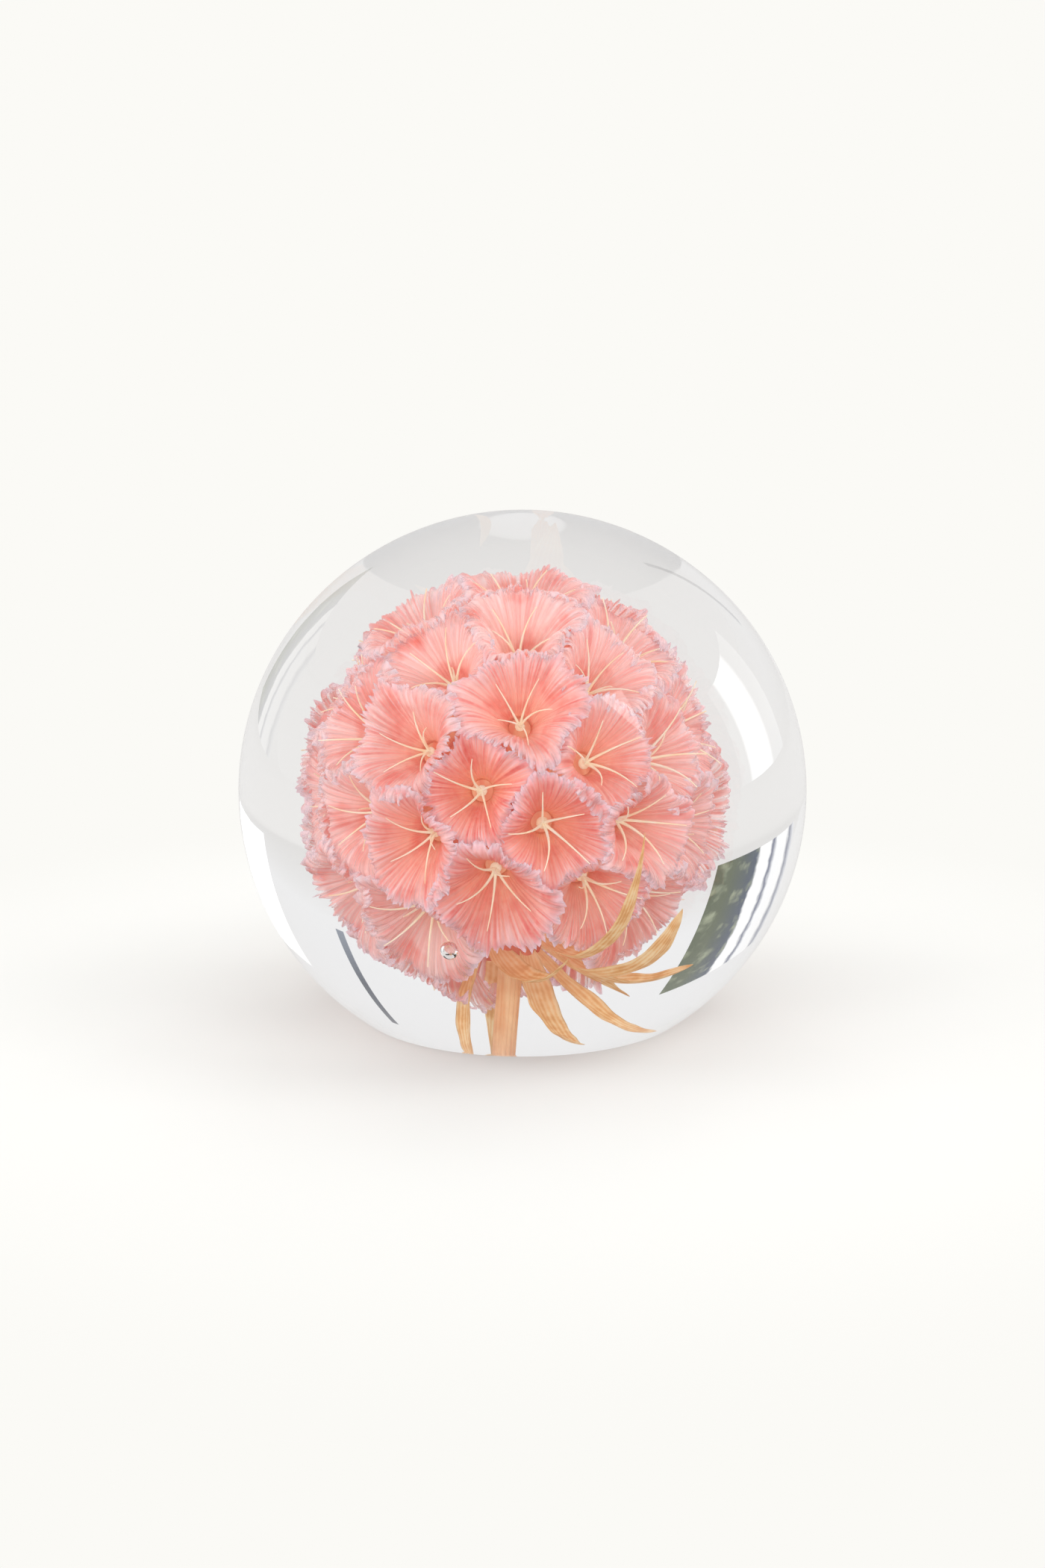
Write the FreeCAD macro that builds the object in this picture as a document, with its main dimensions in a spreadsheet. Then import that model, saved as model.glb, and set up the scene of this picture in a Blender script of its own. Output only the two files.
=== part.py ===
"""A clear cast paperweight that holds a dried scabious seed head.

The cast body is a slightly flattened ball with a ground flat base. Sealed inside it stands one seed head:
a straight stem, a whorl of lance-shaped bracts, a receptacle with a pit for each seed, and on every seed
a papery cup with a star of five bristles at the bottom of it.

Millimetres. +Z is up, the base lies on z = 0, the front faces -Y, and the origin is the centre of the base.
"""

import FreeCAD, Part
import math
import os

import Sketcher
from FreeCAD import Placement, Rotation, Vector

PARTS_FOLDER = "parts"

# Driving dimensions: (alias, millimetres or degrees, what it is).
SIZES = [
    ("dome_width", 80.0, "widest diameter of the cast body"),
    ("crown_rise", 39.4, "height of the crown above the widest circle"),
    ("base_drop", 32.0, "depth of the flat base below the widest circle"),
    ("shoulder_angle", 41.0, "height of the shoulder where side meets crown, degrees above level"),
    ("edge_rise", 0.3, "height of the eased edge round the base"),
    ("edge_run", 1.0, "breadth of the eased edge round the base"),
    ("base_cover", 0.8, "clear resin left under the cut end of the stem"),
    ("bubble_radius", 1.0, "radius of the one trapped air bubble"),
    ("head_shift", -1.0, "how far the seed head stands to the right of the axis"),
    ("core_radius", 7.2, "radius of the round part of the receptacle"),
    ("neck_radius", 2.3, "radius of the receptacle where the bracts spring"),
    ("neck_drop", 16.0, "depth of the receptacle's lower end below the head's centre"),
    ("pit_depth", 0.7, "how deep each seed stands in the receptacle"),
    ("seed_reach", 6.0, "length of seed that stands out of the receptacle"),
    ("seed_foot", 0.75, "radius of a seed at its foot"),
    ("seed_top", 1.5, "radius of a seed at the throat of its cup"),
    ("cup_depth", 7.2, "depth of a papery cup from mouth to throat"),
    ("cup_throat", 1.15, "inner radius of a cup at its throat"),
    ("cup_mouth", 6.0, "largest outer radius of a cup at its mouth"),
    ("cup_wall", 0.2, "thickness of the papery wall"),
    ("cup_gap", 0.3, "clearance between neighbouring cups"),
    ("hub_radius", 0.42, "radius of the round hub of a bristle star"),
    ("hub_stalk", 0.7, "height of the hub above the seed"),
    ("bristle_root", 0.13, "radius of a bristle at the hub"),
    ("bristle_tip", 0.05, "radius of a bristle at its tip"),
    ("bristle_length", 5.6, "length of a bristle"),
    ("bristle_lean", 29.0, "angle of a bristle from the axis of its cup, degrees"),
    ("stem_radius", 1.25, "radius of the stem"),
    ("stem_socket", 1.0, "how far the stem goes up into the receptacle"),
    ("stem_lean", 4.5, "lean of the stem: its foot is to the left of its top, degrees"),
    ("bract_width", 2.5, "widest part of a bract"),
    ("bract_thick", 0.35, "thickness of a bract"),
    ("bract_bury", 0.5, "how far the root of a bract goes into the receptacle"),
    ("bract_room", 2.8, "room from the throats to the receptacle's lower end that BRACTS is drawn for"),
    ("bract_droop", 6.0, "how much lower upturned bracts point for each millimetre of it lost, degrees"),
    ("whorl_start", 0.8, "height of the lowest bracts above the receptacle's lower end"),
    ("whorl_step", 1.0, "height from one level of bracts to the next"),
]

# Where each floret stands on the head: (longitude, latitude) in degrees. Longitude 0 is the front,
# positive to the right; latitude 90 is straight up. The underside stays free for stem and bracts.
FLORETS = [
    (-14, 11), (4, 40), (-43, 25), (35, 21), (13, -3), (-8, -24), (-36, -9),
    (-66, -4), (-82, -32), (-47, -42), (-76, 24), (-48, 56), (56, 50), (10, 74),
    (67, 16), (49, -5), (36, -30), (83, -12), (70, -38), (98, 18), (100, 50),
    (115, -14), (108, -43), (129, 16), (145, 44), (170, 72), (-115, 56), (-107, 28),
    (-96, -4), (-116, -30), (-128, 2), (-142, 32), (-158, 4), (-148, -28), (180, -22),
    (148, -14), (162, 16), (-176, 40), (146, -46), (-172, -54), (-120, -60),
]

# The lance shape of a bract: its root and its bulge as shares of its half width, and its widest place as a
# share of its reach.
ROOT_SHARE = 0.42
BULGE_SHARE = 0.19
WIDEST_SHARE = 0.38

# How each bract leaves the whorl: (level counted from the lowest, turn of its root about the stem from the
# right-hand side, swing of its tip away from straight out, rise of its root above level, length, total curl
# along it). Degrees and millimetres; turn and swing are positive to the back; a curl below 0 is downward.
BRACTS = [
    (3, -58, 0, -37, 32.0, 116),
    (2, -28, 0, -58, 20.0, 122),
    (1, 4, 0, -50, 15.0, 75),
    (0, -20, 0, -50, 17.5, 26),
    (0, -54, 0, -77, 16.0, 60),
    (2, -150, 92, -58, 17.0, 95),
    (1, 188, 0, -62, 12.0, -40),
    (0, 96, 0, -44, 12.0, 20),
    (1, 40, 0, -36, 11.0, 20),
]

STAR_ARMS = 5
BUBBLE_PLACE = Vector(-7.7, -13.2, 17.6)


def size(sheet, alias):
    """A driving dimension as a plain number."""
    return float(sheet.get(alias))


def make_sheet(doc):
    """Writes the driving dimensions to a spreadsheet, one aliased cell for each."""
    sheet = doc.addObject("Spreadsheet::Sheet", "Sizes")
    for row, (alias, value, meaning) in enumerate(SIZES, start=1):
        sheet.set(f"A{row}", meaning)
        sheet.set(f"B{row}", str(value))
        sheet.setAlias(f"B{row}", alias)
    doc.recompute()
    return sheet


def new_body(doc, name):
    body = doc.addObject("PartDesign::Body", name)
    body.Label = name
    return body


def new_sketch(body, name, role="XZ_Plane"):
    """A sketch on one of the body's own origin planes."""
    sketch = body.newObject("Sketcher::SketchObject", name)
    plane = next(f for f in body.Origin.OriginFeatures if f.Role == role)
    sketch.AttachmentSupport = [(plane, "")]
    sketch.MapMode = "FlatFace"
    return sketch


def bind(sketch, kind, *args, value, formula):
    """Adds a dimension to a sketch and ties it to the spreadsheet."""
    index = sketch.addConstraint(Sketcher.Constraint(kind, *args, value))
    sketch.setExpression(f"Constraints[{index}]", formula)
    return index


def join_ends(sketch, *pairs):
    """Makes end points coincide. Each pair is (geometry, end, geometry, end)."""
    for pair in pairs:
        sketch.addConstraint(Sketcher.Constraint("Coincident", *pair))


def revolve(body, sketch, name):
    turned = body.newObject("PartDesign::Revolution", name)
    turned.Profile = sketch
    turned.ReferenceAxis = (sketch, ["V_Axis"])
    turned.Angle = 360.0
    return turned


# --- the cast body's outer shape ---


def side_radius(sheet):
    """Radius of the side's arc, so that it runs smoothly into the crown's arc at the shoulder."""
    share = math.tan(math.radians(45 - size(sheet, "shoulder_angle") / 2))
    half = size(sheet, "dome_width") / 2
    return (size(sheet, "crown_rise") - share * half) / (1 - share)


SIDE_RADIUS_FORMULA = (
    "(Sizes.crown_rise - tan(45 - Sizes.shoulder_angle / 2) * Sizes.dome_width / 2)"
    " / (1 - tan(45 - Sizes.shoulder_angle / 2))"
)


def make_dome(doc, sheet):
    """The outer shape: a side arc and a flatter crown arc, cut level by the base, turned about the axis."""
    half = size(sheet, "dome_width") / 2
    rise = size(sheet, "crown_rise")
    drop = size(sheet, "base_drop")
    edge_rise = size(sheet, "edge_rise")
    edge_run = size(sheet, "edge_run")
    shoulder = math.radians(size(sheet, "shoulder_angle"))
    side = side_radius(sheet)
    offset = half - side
    start = math.asin((edge_rise - drop) / side)
    rim = offset + side * math.cos(start)
    top = drop + rise
    side_centre = Vector(offset, drop, 0)
    crown_centre = Vector(0, drop - offset * math.tan(shoulder), 0)

    body = new_body(doc, "outer_shape")
    sketch = new_sketch(body, "dome_profile")
    side_circle = Part.Circle(side_centre, Vector(0, 0, 1), side)
    crown_circle = Part.Circle(crown_centre, Vector(0, 0, 1), side + offset / math.cos(shoulder))
    sketch.addGeometry(Part.ArcOfCircle(side_circle, start, shoulder), False)
    sketch.addGeometry(Part.ArcOfCircle(crown_circle, shoulder, math.pi / 2), False)
    sketch.addGeometry(Part.LineSegment(Vector(0, top, 0), Vector(0, 0, 0)), False)
    sketch.addGeometry(Part.LineSegment(Vector(0, 0, 0), Vector(rim - edge_run, 0, 0)), False)
    sketch.addGeometry(Part.LineSegment(Vector(rim - edge_run, 0, 0), Vector(rim, edge_rise, 0)), False)
    join_ends(sketch, (1, 2, 2, 1), (2, 2, 3, 1), (3, 2, 4, 1), (4, 2, 0, 1), (2, 2, -1, 1))
    sketch.addConstraint(Sketcher.Constraint("Tangent", 0, 2, 1, 1))
    sketch.addConstraint(Sketcher.Constraint("Horizontal", 3))
    sketch.addConstraint(Sketcher.Constraint("Vertical", 2))
    sketch.addConstraint(Sketcher.Constraint("PointOnObject", 1, 3, -2))
    bind(sketch, "DistanceY", -1, 1, 0, 3, value=drop, formula="Sizes.base_drop")
    bind(sketch, "Radius", 0, value=side, formula=SIDE_RADIUS_FORMULA)
    bind(
        sketch, "DistanceX", -1, 1, 0, 3, value=offset,
        formula=f"Sizes.dome_width / 2 - {SIDE_RADIUS_FORMULA}",
    )
    bind(sketch, "DistanceY", 2, 2, 2, 1, value=top, formula="Sizes.base_drop + Sizes.crown_rise")
    bind(sketch, "DistanceX", 4, 1, 4, 2, value=edge_run, formula="Sizes.edge_run")
    bind(sketch, "DistanceY", 4, 1, 4, 2, value=edge_rise, formula="Sizes.edge_rise")
    revolve(body, sketch, "dome_turned")
    return body


# --- places on the seed head ---


def head_centre(sheet):
    return Vector(size(sheet, "head_shift"), 0, size(sheet, "base_drop"))


def outward(longitude, latitude):
    """The unit vector that leaves the head's centre at this longitude and latitude."""
    lon, lat = math.radians(longitude), math.radians(latitude)
    return Vector(math.sin(lon) * math.cos(lat), -math.cos(lon) * math.cos(lat), math.sin(lat))


def floret_place(sheet, floret, distance):
    """A placement whose +Z runs outward along a floret, with its origin at this distance from the centre."""
    axis = outward(*floret)
    return Placement(head_centre(sheet) + axis * distance, Rotation(Vector(0, 0, 1), axis))


def throat_distance(sheet):
    return size(sheet, "core_radius") + size(sheet, "seed_reach")


def half_spacing(floret):
    """Half the angle, in degrees, to the nearest other floret."""
    others = [outward(*other) for other in FLORETS if other != floret]
    return min(math.degrees(outward(*floret).getAngle(other)) for other in others) / 2


# --- florets ---


def make_cup(doc, sheet, name, floret):
    """A papery cup: a trumpet whose wall leaves the throat upright and flares to the mouth."""
    throat = size(sheet, "cup_throat")
    depth = size(sheet, "cup_depth")
    wall = size(sheet, "cup_wall")
    reach = throat_distance(sheet) + depth
    spread = math.tan(math.radians(half_spacing(floret)))
    mouth = min(size(sheet, "cup_mouth"), reach * spread - size(sheet, "cup_gap") / 2)
    mouth_formula = (
        "min(Sizes.cup_mouth; (Sizes.core_radius + Sizes.seed_reach + Sizes.cup_depth)"
        f" * {spread:.6f} - Sizes.cup_gap / 2)"
    )
    flare = 2 * math.atan((mouth - wall - throat) / depth)
    inner = depth / math.sin(flare)
    centre = Vector(throat + inner, 0, 0)

    def on_arc(radius, turn):
        return centre + Vector(-math.cos(turn), math.sin(turn), 0) * radius

    body = new_body(doc, name)
    sketch = new_sketch(body, f"{name}_profile")
    start, end = math.pi - flare, math.pi
    sketch.addGeometry(Part.ArcOfCircle(Part.Circle(centre, Vector(0, 0, 1), inner), start, end), False)
    sketch.addGeometry(Part.ArcOfCircle(Part.Circle(centre, Vector(0, 0, 1), inner - wall), start, end), False)
    sketch.addGeometry(Part.LineSegment(on_arc(inner, 0), on_arc(inner - wall, 0)), False)
    sketch.addGeometry(Part.LineSegment(on_arc(inner, flare), on_arc(inner - wall, flare)), False)
    join_ends(sketch, (0, 2, 2, 1), (1, 2, 2, 2), (0, 1, 3, 1), (1, 1, 3, 2), (0, 3, 1, 3))
    sketch.addConstraint(Sketcher.Constraint("PointOnObject", 0, 3, -1))
    sketch.addConstraint(Sketcher.Constraint("PointOnObject", 0, 2, -1))
    sketch.addConstraint(Sketcher.Constraint("PointOnObject", 1, 2, -1))
    sketch.addConstraint(Sketcher.Constraint("PointOnObject", 0, 3, 3))
    bind(sketch, "DistanceX", -1, 1, 0, 2, value=throat, formula="Sizes.cup_throat")
    bind(sketch, "DistanceX", 2, 1, 2, 2, value=wall, formula="Sizes.cup_wall")
    bind(sketch, "DistanceY", -1, 1, 0, 1, value=depth, formula="Sizes.cup_depth")
    bind(sketch, "DistanceX", -1, 1, 0, 1, value=mouth - wall, formula=f"{mouth_formula} - Sizes.cup_wall")
    revolve(body, sketch, f"{name}_turned")
    body.Placement = floret_place(sheet, floret, throat_distance(sheet))
    return body


def make_seed(doc, sheet, number, floret):
    """One seed: a cone that stands in its pit and widens to the throat of its cup."""
    seed = doc.addObject("Part::Cone", f"seed_{number:02d}")
    seed.setExpression("Radius1", "Sizes.seed_foot")
    seed.setExpression("Radius2", "Sizes.seed_top")
    seed.setExpression("Height", "Sizes.seed_reach + Sizes.pit_depth")
    foot = size(sheet, "core_radius") - size(sheet, "pit_depth")
    seed.Placement = floret_place(sheet, floret, foot)
    return seed


def make_star(doc, sheet, number, floret):
    """The five-armed star in a cup: a short stalk, a round hub and five thin bristles."""
    base = floret_place(sheet, floret, throat_distance(sheet))
    stalk = doc.addObject("Part::Cylinder", f"star_stalk_{number:02d}")
    stalk.setExpression("Radius", "Sizes.hub_radius / 2")
    stalk.setExpression("Height", "Sizes.hub_stalk")
    stalk.Placement = base
    lift = Placement(Vector(0, 0, size(sheet, "hub_stalk")), Rotation())
    hub = doc.addObject("Part::Sphere", f"star_hub_{number:02d}")
    hub.setExpression("Radius", "Sizes.hub_radius")
    hub.Placement = base * lift
    pieces = [stalk, hub]
    for arm in range(STAR_ARMS):
        bristle = doc.addObject("Part::Cone", f"bristle_{number:02d}_{arm + 1}")
        bristle.setExpression("Radius1", "Sizes.bristle_root")
        bristle.setExpression("Radius2", "Sizes.bristle_tip")
        bristle.setExpression("Height", "Sizes.bristle_length")
        turn = Rotation(Vector(0, 0, 1), 360.0 / STAR_ARMS * arm + 17.0 * number)
        lean = Rotation(Vector(0, 1, 0), size(sheet, "bristle_lean"))
        bristle.Placement = base * lift * Placement(Vector(), turn) * Placement(Vector(), lean)
        pieces.append(bristle)
    star = doc.addObject("Part::MultiFuse", f"star_{number:02d}")
    star.Shapes = pieces
    return star


def group(doc, name, pieces):
    """Several like pieces as one named sub-part."""
    made = doc.addObject("Part::Compound", name)
    made.Label = name
    made.Links = pieces
    return made


# --- bracts, receptacle and stem ---


def neck_meet(sheet):
    """Where the neck's straight flank touches the round core: (radius, height) from the head's centre."""
    core = size(sheet, "core_radius")
    neck = size(sheet, "neck_radius")
    drop = size(sheet, "neck_drop")
    turn = math.atan2(-drop, neck) + math.acos(core / math.hypot(drop, neck))
    return core * math.cos(turn), core * math.sin(turn), turn


def neck_radius_at(sheet, height):
    """Radius of the neck's flank at this height above the receptacle's lower end."""
    neck = size(sheet, "neck_radius")
    meet_radius, meet_height, _ = neck_meet(sheet)
    return neck + (meet_radius - neck) * height / (meet_height + size(sheet, "neck_drop"))


def make_bract(doc, sheet, name, level, turn, swing, rise, length, curl):
    """A lance-shaped bract: a strip bent to an arc in side view, cut to a pointed outline from above."""
    thick = size(sheet, "bract_thick")
    half_width = size(sheet, "bract_width") / 2
    bend = math.radians(abs(curl))
    radius = length / bend
    body = new_body(doc, name)
    side = new_sketch(body, f"{name}_side")
    centre = Vector(0, radius, 0)
    start = -math.pi / 2

    def on_arc(distance, angle):
        return centre + Vector(math.sin(angle), -math.cos(angle), 0) * distance

    outer = Part.Circle(centre, Vector(0, 0, 1), radius)
    inner = Part.Circle(centre, Vector(0, 0, 1), radius - thick)
    side.addGeometry(Part.ArcOfCircle(outer, start, start + bend), False)
    side.addGeometry(Part.ArcOfCircle(inner, start, start + bend), False)
    side.addGeometry(Part.LineSegment(on_arc(radius, 0), on_arc(radius - thick, 0)), False)
    side.addGeometry(Part.LineSegment(on_arc(radius, bend), on_arc(radius - thick, bend)), False)
    join_ends(side, (0, 1, 2, 1), (1, 1, 2, 2), (0, 2, 3, 1), (1, 2, 3, 2), (0, 3, 1, 3), (0, 1, -1, 1))
    side.addConstraint(Sketcher.Constraint("PointOnObject", 0, 3, -2))
    side.addConstraint(Sketcher.Constraint("PointOnObject", 1, 1, -2))
    side.addConstraint(Sketcher.Constraint("PointOnObject", 0, 3, 3))
    bind(side, "DistanceY", 2, 1, 2, 2, value=thick, formula="Sizes.bract_thick")
    side.addConstraint(Sketcher.Constraint("Radius", 0, radius))
    side.addConstraint(Sketcher.Constraint("DistanceX", -1, 1, 0, 2, on_arc(radius, bend).x))
    strip = body.newObject("PartDesign::Pad", f"{name}_strip")
    strip.Profile = side
    strip.SideType = "Symmetric"
    strip.setExpression("Length", "Sizes.bract_width")
    strip.Length = 2 * half_width
    doc.recompute()

    trim_outline(body, name, half_width, thick, reach=radius * math.sin(min(bend, math.pi / 2)))
    height = size(sheet, "whorl_start") + level * size(sheet, "whorl_step")
    root = neck_radius_at(sheet, height) - size(sheet, "bract_bury")
    whorl = head_centre(sheet) + Vector(0, 0, height - size(sheet, "neck_drop"))
    room_lost = size(sheet, "bract_room") - (size(sheet, "neck_drop") - throat_distance(sheet))
    droop = room_lost * size(sheet, "bract_droop") if curl > 0 else 0
    body.Placement = (
        Placement(whorl, Rotation(Vector(0, 0, 1), turn))
        * Placement(Vector(root, 0, 0), Rotation(Vector(0, 0, 1), swing))
        * Placement(Vector(), Rotation(Vector(0, 1, 0), droop - rise))
        * Placement(Vector(), Rotation(Vector(1, 0, 0), 180 if curl < 0 else 0))
    )
    return body


def trim_outline(body, name, half_width, thick, reach):
    """Cuts a bract's strip to a lance-shaped outline: narrow at the root, widest near it, pointed."""
    outline = new_sketch(body, f"{name}_outline", "XY_Plane")
    end = reach + thick
    root_half = ROOT_SHARE * half_width
    frame_half = half_width + thick
    bulge = BULGE_SHARE * half_width
    for mirror in (1, -1):
        root = Vector(0, root_half * mirror, 0)
        widest = Vector(WIDEST_SHARE * reach, half_width * mirror, 0)
        point = Vector(end, 0, 0)
        swell = Vector(0, bulge * mirror, 0)
        corners = [
            point,
            Vector(end, frame_half * mirror, 0),
            Vector(-thick, frame_half * mirror, 0),
            Vector(-thick, root_half * mirror, 0),
            root,
        ]
        curves = [
            Part.Arc(root, (root + widest) * 0.5 + swell, widest),
            Part.Arc(widest, (widest + point) * 0.5 + swell, point),
        ]
        curves += [Part.LineSegment(a, b) for a, b in zip(corners, corners[1:])]
        for curve in curves:
            outline.addGeometry(curve, False)
    trim = body.newObject("PartDesign::Pocket", f"{name}_trim")
    trim.Profile = outline
    trim.Type = "ThroughAll"
    trim.SideType = "Symmetric"


def make_receptacle_blank(doc, sheet):
    """The receptacle before its pits: a ball on a neck that narrows to the whorl of bracts."""
    core = size(sheet, "core_radius")
    neck = size(sheet, "neck_radius")
    drop = size(sheet, "neck_drop")
    body = new_body(doc, "receptacle_blank")
    sketch = new_sketch(body, "receptacle_profile")
    meet_radius, meet_height, join_turn = neck_meet(sheet)
    meet = Vector(meet_radius, meet_height, 0)
    sketch.addGeometry(
        Part.ArcOfCircle(Part.Circle(Vector(), Vector(0, 0, 1), core), join_turn, math.pi / 2), False
    )
    sketch.addGeometry(Part.LineSegment(meet, Vector(neck, -drop, 0)), False)
    sketch.addGeometry(Part.LineSegment(Vector(neck, -drop, 0), Vector(0, -drop, 0)), False)
    sketch.addGeometry(Part.LineSegment(Vector(0, -drop, 0), Vector(0, core, 0)), False)
    join_ends(sketch, (1, 2, 2, 1), (2, 2, 3, 1), (3, 2, 0, 2), (0, 3, -1, 1))
    sketch.addConstraint(Sketcher.Constraint("Tangent", 0, 1, 1, 1))
    sketch.addConstraint(Sketcher.Constraint("PointOnObject", 0, 2, -2))
    sketch.addConstraint(Sketcher.Constraint("PointOnObject", 2, 2, -2))
    sketch.addConstraint(Sketcher.Constraint("Horizontal", 2))
    bind(sketch, "Radius", 0, value=core, formula="Sizes.core_radius")
    bind(sketch, "DistanceX", 2, 2, 2, 1, value=neck, formula="Sizes.neck_radius")
    bind(sketch, "DistanceY", 2, 2, -1, 1, value=drop, formula="Sizes.neck_drop")
    revolve(body, sketch, "receptacle_turned")
    body.Placement = Placement(head_centre(sheet), Rotation())
    return body


def make_stem(doc, sheet):
    """The stem: from its socket in the receptacle down to just above the base, leaning a little."""
    stem = doc.addObject("Part::Cylinder", "stem")
    stem.Label = "stem"
    stem.setExpression("Radius", "Sizes.stem_radius")
    stem.setExpression(
        "Height",
        "(Sizes.base_drop - Sizes.neck_drop + Sizes.stem_socket - Sizes.base_cover"
        " - Sizes.stem_radius * sin(Sizes.stem_lean)) / cos(Sizes.stem_lean)",
    )
    top = Vector(0, 0, size(sheet, "stem_socket") - size(sheet, "neck_drop"))
    down = Rotation(Vector(0, 1, 0), 180 + size(sheet, "stem_lean"))
    stem.Placement = Placement(head_centre(sheet) + top, down)
    return stem


def cut(doc, name, base, tool):
    made = doc.addObject("Part::Cut", name)
    made.Label = name
    made.Base = base
    made.Tool = tool
    return made


def fuse(doc, name, pieces):
    made = doc.addObject("Part::MultiFuse", name)
    made.Shapes = pieces
    return made


def make_bubble(doc):
    """The one air bubble that stayed in the casting, a little in front of the head and low on the left."""
    bubble = doc.addObject("Part::Sphere", "bubble_space")
    bubble.setExpression("Radius", "Sizes.bubble_radius")
    bubble.Placement = Placement(BUBBLE_PLACE, Rotation())
    return bubble


def check(doc, nodes):
    """Stops the build if an object failed, or if a sub-part isn't made of sound closed solids."""
    failed = [o.Name for o in doc.Objects if {"Invalid", "Error"} & set(o.State)]
    if failed:
        raise RuntimeError(f"these objects failed: {failed}")
    for node in nodes:
        shape = node.Shape
        if shape.isNull() or not shape.isValid() or not shape.Solids:
            raise RuntimeError(f"{node.Label} is not a sound solid")
        if any(solid.Volume <= 0 for solid in shape.Solids):
            raise RuntimeError(f"{node.Label} has a solid with no volume")


def main():
    doc = FreeCAD.newDocument("paperweight")
    sheet = make_sheet(doc)
    dome = make_dome(doc, sheet)
    numbered = list(enumerate(FLORETS, start=1))
    cups = [make_cup(doc, sheet, f"papery_cup_{number:02d}", floret) for number, floret in numbered]
    seeds = [make_seed(doc, sheet, number, floret) for number, floret in numbered]
    stars = [make_star(doc, sheet, number, floret) for number, floret in numbered]
    bracts = [
        make_bract(doc, sheet, f"bract_{number:02d}", *shape)
        for number, shape in enumerate(BRACTS, start=1)
    ]
    blank = make_receptacle_blank(doc, sheet)
    stem = make_stem(doc, sheet)
    doc.recompute()

    receptacle = cut(doc, "receptacle", blank, fuse(doc, "pit_tools", [stem, *seeds, *bracts]))
    all_seeds = group(doc, "seeds", seeds)
    all_stars = group(doc, "bristle_stars", stars)
    doc.recompute()
    filling = fuse(doc, "seed_head_space", [receptacle, stem, *seeds, *stars, *cups, *bracts, make_bubble(doc)])
    resin = cut(doc, "resin_body", dome, filling)
    doc.recompute()

    nodes = [resin, stem, receptacle, all_seeds, all_stars, *bracts, *cups]
    check(doc, nodes)
    os.makedirs(PARTS_FOLDER, exist_ok=True)
    for node in nodes:
        node.Shape.exportStep(os.path.join(PARTS_FOLDER, f"{node.Label}.step"))
        print(f"{node.Label}: {len(node.Shape.Solids)} solid(s), {node.Shape.Volume:.2f} mm3")


main()
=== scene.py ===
# %% [markdown]
# A clear cast paperweight with a dried scabious seed head inside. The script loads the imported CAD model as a
# fixed frame, gives every piece its finish, and puts detailed pieces in the places that the CAD settled.
# Everything is in metres, +Z is up, the front faces -Y.

# %% The frame
import math

import bmesh
import bpy
import numpy as np
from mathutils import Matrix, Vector, noise


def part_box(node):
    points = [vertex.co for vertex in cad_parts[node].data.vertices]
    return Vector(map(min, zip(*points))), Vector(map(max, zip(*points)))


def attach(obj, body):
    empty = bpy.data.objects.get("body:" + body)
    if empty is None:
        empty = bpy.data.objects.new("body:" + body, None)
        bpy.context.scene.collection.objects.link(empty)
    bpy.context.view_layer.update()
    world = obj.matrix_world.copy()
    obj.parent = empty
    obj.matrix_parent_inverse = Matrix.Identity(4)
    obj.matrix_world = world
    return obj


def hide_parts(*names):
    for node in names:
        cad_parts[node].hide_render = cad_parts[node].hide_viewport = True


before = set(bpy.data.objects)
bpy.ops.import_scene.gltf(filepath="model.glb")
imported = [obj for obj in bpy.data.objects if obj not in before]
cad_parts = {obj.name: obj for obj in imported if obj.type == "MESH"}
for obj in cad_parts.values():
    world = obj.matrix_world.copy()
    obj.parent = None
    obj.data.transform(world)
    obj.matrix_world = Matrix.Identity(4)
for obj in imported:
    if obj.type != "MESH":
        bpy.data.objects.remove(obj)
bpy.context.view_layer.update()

MM = 0.001

# %% [markdown]
# Each helper below does one small job: a colour given the way a paint card gives it, a mesh made from
# arrays, or the shorthand for nodes. Dried tissue spreads light inside itself, which is slow to follow, so
# the finishes of the plant add a little light of their own in its place.

# %% Small helpers


def paint(red, green, blue, alpha=1.0):
    """A colour from a paint card's 0 to 255 values, as the linear values that shaders take."""
    def linear(value):
        share = value / 255
        return share / 12.92 if share <= 0.04045 else ((share + 0.055) / 1.055) ** 2.4
    return (linear(red), linear(green), linear(blue), alpha)


def mesh_piece(name, points, faces, smooth=True):
    """A new object whose mesh has these points and faces, at the origin."""
    mesh = bpy.data.meshes.new(name)
    mesh.from_pydata([tuple(p) for p in points], [], [tuple(f) for f in faces])
    mesh.validate()
    if smooth:
        mesh.shade_smooth()
    piece = bpy.data.objects.new(name, mesh)
    bpy.context.scene.collection.objects.link(piece)
    return piece


def store(piece, name, values):
    """Keeps a number or a vector for each point of a piece under a name that nodes can read."""
    values = np.asarray(values, dtype=np.float32)
    kind, field = ("FLOAT", "value") if values.ndim == 1 else ("FLOAT_VECTOR", "vector")
    piece.data.attributes.new(name, kind, "POINT").data.foreach_set(field, values.ravel())


def loop_faces(rows, columns, close_rows=False, close_columns=False):
    """Quads over a grid of points kept row by row."""
    last_row = rows if close_rows else rows - 1
    last_column = columns if close_columns else columns - 1
    return [
        (
            r * columns + c,
            r * columns + (c + 1) % columns,
            (r + 1) % rows * columns + (c + 1) % columns,
            (r + 1) % rows * columns + c,
        )
        for r in range(last_row)
        for c in range(last_column)
    ]


def tube_faces(rows, ring):
    """The faces of a tube of rings, closed at both ends."""
    ends = [tuple(range(ring))[::-1], tuple((rows - 1) * ring + k for k in range(ring))]
    return loop_faces(rows, ring, close_columns=True) + ends


def grey(share):
    """A grey as a linear share of white."""
    return (share, share, share, 1.0)


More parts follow.
